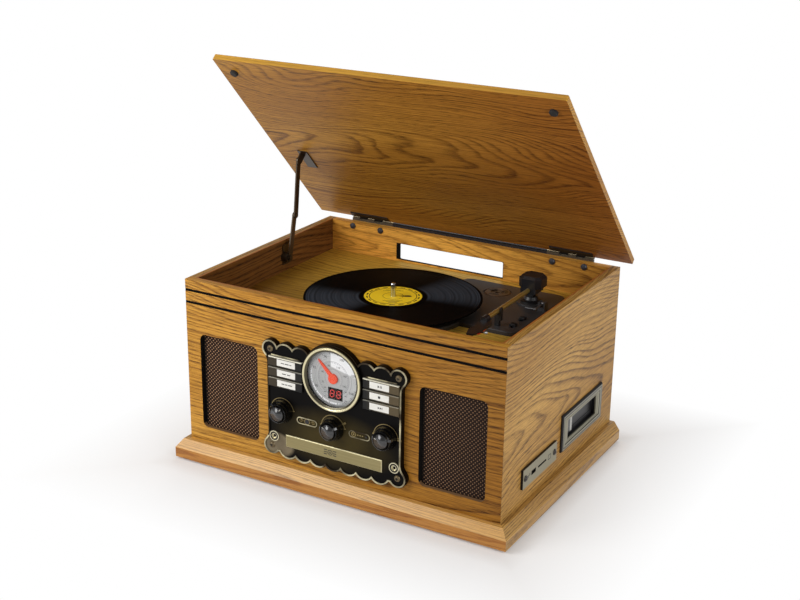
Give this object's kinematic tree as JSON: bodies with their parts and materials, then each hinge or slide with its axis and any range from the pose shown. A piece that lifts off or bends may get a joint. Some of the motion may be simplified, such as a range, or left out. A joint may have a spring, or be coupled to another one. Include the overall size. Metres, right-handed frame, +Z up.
{
  "type": "stereo music centre with record deck",
  "caption": "Wooden table-top music centre with a lidded record deck, scalloped metal fascia with round gauge, keys and knobs, disc drawer, speakers and side cassette slot",
  "frame": {"origin": "middle of the box round the whole object at rest, on the table under the feet", "axes": "X to the object's right hand seen from the front, Y to its back, Z up"},
  "size_m": [0.503, 0.3859, 0.5372],
  "materials": {
    "cabinet_veneer": "oak-look veneer, warm golden, satin lacquer",
    "lid_veneer": "oak-look veneer, satin lacquer",
    "plinth_wood": "moulded wood, satin lacquer",
    "raw_board": "veneered board, matt",
    "speaker_cloth": "woven dark brown grille cloth",
    "cone_paper": "black paper cone in a pressed basket",
    "antique_bronze": "cast plate, aged black-bronze with worn brass bead",
    "worn_brass": "cream-brass ring, polished",
    "dial_silver": "satin silver printed dial",
    "needle_red": "orange-red pointer",
    "clear_lens": "clear cover",
    "display_black": "dark display window with red digits",
    "key_bronze": "bronze-coloured keys with white label fields",
    "knob_black": "glossy black-chrome knobs",
    "drawer_brass": "brushed brass-gold drawer front on a black tray",
    "jack_metal": "plated socket rings",
    "screw_bronze": "bronze-plated screws",
    "sheet_steel": "plated sheet steel",
    "side_silver": "champagne-silver plate",
    "black_plastic": "moulded black plastic",
    "circuit_green": "circuit board with fitted parts",
    "core_iron": "laminated core",
    "hinge_steel": "dark plated steel hinges",
    "stay_bronze": "dark bronze-plated folding stay",
    "rubber_black": "soft black rubber",
    "deck_brown": "dark brown-grey moulded deck plate",
    "platter_plastic": "moulded black platter",
    "mat_rubber": "ribbed mat",
    "record_vinyl": "black vinyl with a yellow paper label",
    "arm_metal": "gold-tone tube with a charcoal block and head",
    "turret_grey": "charcoal turning column",
    "adapter_grey": "turned centre insert",
    "lever_chrome": "bright lever",
    "motor_steel": "motor can"
  },
  "bodies": {
    "cabinet": {"left_side_panel": "cabinet_veneer", "right_side_panel": "cabinet_veneer", "front_baffle": "cabinet_veneer", "back_panel": "cabinet_veneer", "bottom_board": "raw_board", "deck_board": "raw_board", "plinth_mouldings": "plinth_wood", "rubber_feet": "rubber_black", "speaker_grilles": "speaker_cloth", "speaker_drivers": "cone_paper", "fascia_plate": "antique_bronze", "gauge_bezel": "worn_brass", "gauge_dial": "dial_silver", "gauge_lens": "clear_lens", "led_display": "display_black", "front_jacks": "jack_metal", "cd_mechanism": "sheet_steel", "cassette_bezel": "black_plastic", "cassette_mechanism": "black_plastic", "usb_card_plate": "side_silver", "hinge_body_leaves": "hinge_steel", "fixing_screws": "screw_bronze", "stay_cabinet_bracket": "stay_bronze", "turntable_plate": "deck_brown", "platter_motor": "motor_steel", "drive_belt": "rubber_black", "arm_rest": "black_plastic", "main_circuit_board": "circuit_green", "mains_transformer": "core_iron", "control_board": "circuit_green", "rear_connection_panel": "black_plastic"},
    "lid": {"lid_panel": "lid_veneer", "lid_bumpers": "rubber_black", "hinge_lid_leaves": "hinge_steel", "stay_lid_bracket": "stay_bronze"},
    "stay_lower": {"stay_lower_arm": "stay_bronze"},
    "stay_upper": {"stay_upper_arm": "stay_bronze"},
    "platter_body": {"platter": "platter_plastic", "platter_mat": "mat_rubber", "vinyl_record": "record_vinyl"},
    "pulley": {"motor_pulley": "lever_chrome"},
    "turret": {"tonearm_turret": "turret_grey"},
    "arm": {"tonearm": "arm_metal"},
    "cue": {"cue_lever": "lever_chrome"},
    "speed": {"speed_switch": "black_plastic"},
    "auto_stop": {"auto_stop_switch": "black_plastic"},
    "volume": {"volume_knob": "knob_black"},
    "function": {"function_knob": "knob_black"},
    "tuning": {"tuning_knob": "knob_black"},
    "needle": {"gauge_needle": "needle_red"},
    "drawer": {"cd_drawer": "drawer_brass"},
    "flap": {"cassette_flap": "black_plastic"},
    "eject": {"cassette_eject_key": "black_plastic"},
    "adapter": {"record_adapter": "adapter_grey"},
    "left_key_1_body": {"left_key_1": "key_bronze"},
    "left_key_2_body": {"left_key_2": "key_bronze"},
    "left_key_3_body": {"left_key_3": "key_bronze"},
    "right_key_1_body": {"right_key_1": "key_bronze"},
    "right_key_2_body": {"right_key_2": "key_bronze"},
    "right_key_3_body": {"right_key_3": "key_bronze"}
  },
  "joints": [
    {"name": "lid_hinge", "type": "hinge", "parent": "cabinet", "child": "lid", "pos_m": [0, 0.18792, 0.2627], "axis": [-1, 0, 0], "range_deg": [-45.8, 0]},
    {"name": "stay_lower_pivot", "type": "hinge", "parent": "cabinet", "child": "stay_lower", "pos_m": [-0.211, 0.04092, 0.2334], "axis": [-1, 0, 0], "range_deg": [0, 62.23]},
    {"name": "stay_upper_pivot", "type": "hinge", "parent": "lid", "child": "stay_upper", "pos_m": [-0.211, 0.06216, 0.37279], "axis": [-1, 0, 0], "range_deg": [-51.42, 0]},
    {"name": "platter_spin", "type": "hinge", "parent": "cabinet", "child": "platter_body", "pos_m": [-0.0097, -0.01208, 0.2185], "axis": [0, 0, -1], "continuous": true},
    {"name": "pulley_spin", "type": "hinge", "parent": "cabinet", "child": "pulley", "pos_m": [-0.083, -0.03876, 0.2185], "axis": [0, 0, -1], "continuous": true},
    {"name": "tonearm_swing", "type": "hinge", "parent": "cabinet", "child": "turret", "pos_m": [0.145, 0.09392, 0.217], "axis": [0, 0, -1], "range_deg": [0, 40]},
    {"name": "tonearm_lift", "type": "hinge", "parent": "turret", "child": "arm", "pos_m": [0.145, 0.09392, 0.237], "axis": [-1, 0, 0], "range_deg": [0, 12]},
    {"name": "cue_lever_pivot", "type": "hinge", "parent": "cabinet", "child": "cue", "pos_m": [0.171, 0.07292, 0.226], "axis": [-1, 0, 0], "range_deg": [0, 60]},
    {"name": "speed_slide", "type": "slide", "parent": "cabinet", "child": "speed", "axis": [0, 1, 0], "range_m": [-0.004, 0.004]},
    {"name": "auto_stop_slide", "type": "slide", "parent": "cabinet", "child": "auto_stop", "axis": [0, 1, 0], "range_m": [0, 0.005]},
    {"name": "volume_turn", "type": "hinge", "parent": "cabinet", "child": "volume", "pos_m": [-0.0775, -0.17708, 0.108], "axis": [0, 1, 0], "range_deg": [-150, 150]},
    {"name": "function_turn", "type": "hinge", "parent": "cabinet", "child": "function", "pos_m": [0, -0.17708, 0.102], "axis": [0, 1, 0], "range_deg": [-60, 60]},
    {"name": "tuning_turn", "type": "hinge", "parent": "cabinet", "child": "tuning", "pos_m": [0.0775, -0.17708, 0.108], "axis": [0, 1, 0], "range_deg": [-390, 930]},
    {"name": "needle_turn", "type": "hinge", "parent": "cabinet", "child": "needle", "pos_m": [0, -0.17708, 0.1696], "axis": [0, 1, 0], "range_deg": [-65.5, 155.5]},
    {"name": "left_key_1_press", "type": "slide", "parent": "cabinet", "child": "left_key_1_body", "axis": [0, 1, 0], "range_m": [0, 0.0016], "stiffness_N_per_m": 400, "springref_m": -0.002},
    {"name": "left_key_2_press", "type": "slide", "parent": "cabinet", "child": "left_key_2_body", "axis": [0, 1, 0], "range_m": [0, 0.0016], "stiffness_N_per_m": 400, "springref_m": -0.002},
    {"name": "left_key_3_press", "type": "slide", "parent": "cabinet", "child": "left_key_3_body", "axis": [0, 1, 0], "range_m": [0, 0.0016], "stiffness_N_per_m": 400, "springref_m": -0.002},
    {"name": "right_key_1_press", "type": "slide", "parent": "cabinet", "child": "right_key_1_body", "axis": [0, 1, 0], "range_m": [0, 0.0016], "stiffness_N_per_m": 400, "springref_m": -0.002},
    {"name": "right_key_2_press", "type": "slide", "parent": "cabinet", "child": "right_key_2_body", "axis": [0, 1, 0], "range_m": [0, 0.0016], "stiffness_N_per_m": 400, "springref_m": -0.002},
    {"name": "right_key_3_press", "type": "slide", "parent": "cabinet", "child": "right_key_3_body", "axis": [0, 1, 0], "range_m": [0, 0.0016], "stiffness_N_per_m": 400, "springref_m": -0.002},
    {"name": "disc_drawer_slide", "type": "slide", "parent": "cabinet", "child": "drawer", "axis": [0, -1, 0], "range_m": [0, 0.13]},
    {"name": "cassette_flap_hinge", "type": "hinge", "parent": "cabinet", "child": "flap", "pos_m": [0.22975, 0.08192, 0.08545], "axis": [0, 1, 0], "range_deg": [0, 86], "stiffness_Nm_per_rad": 0.002, "springref_deg": -17.19},
    {"name": "cassette_eject_press", "type": "slide", "parent": "cabinet", "child": "eject", "axis": [-1, 0, 0], "range_m": [0, 0.003], "stiffness_N_per_m": 400, "springref_m": -0.002},
    {"name": "adapter_lift", "type": "slide", "parent": "cabinet", "child": "adapter", "axis": [0, 0, 1], "range_m": [0, 0.04]}
  ],
  "couplings": [
    {"joint": "stay_lower_pivot", "follows": "lid_hinge", "ratio": -1.3521},
    {"joint": "stay_upper_pivot", "follows": "lid_hinge", "ratio": 1.1162},
    {"joint": "pulley_spin", "follows": "platter_spin", "ratio": 12},
    {"joint": "needle_turn", "follows": "tuning_turn", "ratio": 0.16667}
  ]
}
